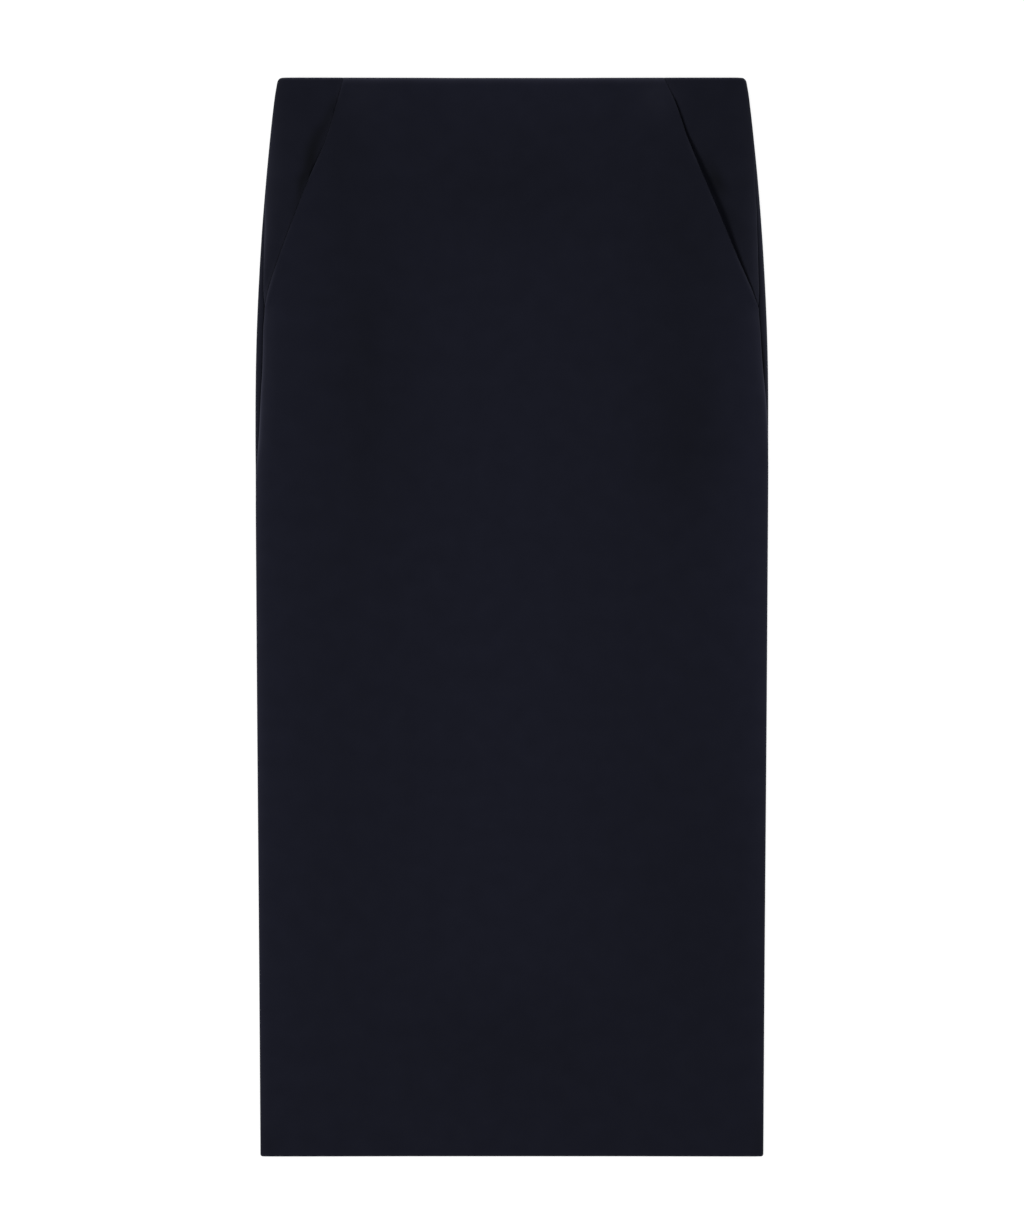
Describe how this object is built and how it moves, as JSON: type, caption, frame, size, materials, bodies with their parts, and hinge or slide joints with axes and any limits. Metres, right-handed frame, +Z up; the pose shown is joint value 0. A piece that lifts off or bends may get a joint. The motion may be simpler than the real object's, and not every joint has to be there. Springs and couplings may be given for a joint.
{
  "type": "pencil skirt laid flat",
  "caption": "Close-fitting straight midi pencil skirt with slanted front pockets and a plain, bandless waist edge, laid flat on its back.",
  "frame": {"origin": "on the surface the skirt lies on, under the middle of its outline", "axes": "+X across the skirt to the right as seen from above, +Y from the hem to the waist edge, +Z up from the surface, out of the front"},
  "size_m": [0.4186, 0.88, 0.0098],
  "materials": {
    "skirt_cloth": "matte"
  },
  "bodies": {
    "root": {"front": "skirt_cloth", "back": "skirt_cloth", "pocket_back_left": "skirt_cloth", "pocket_back_right": "skirt_cloth"}
  },
  "joints": []
}
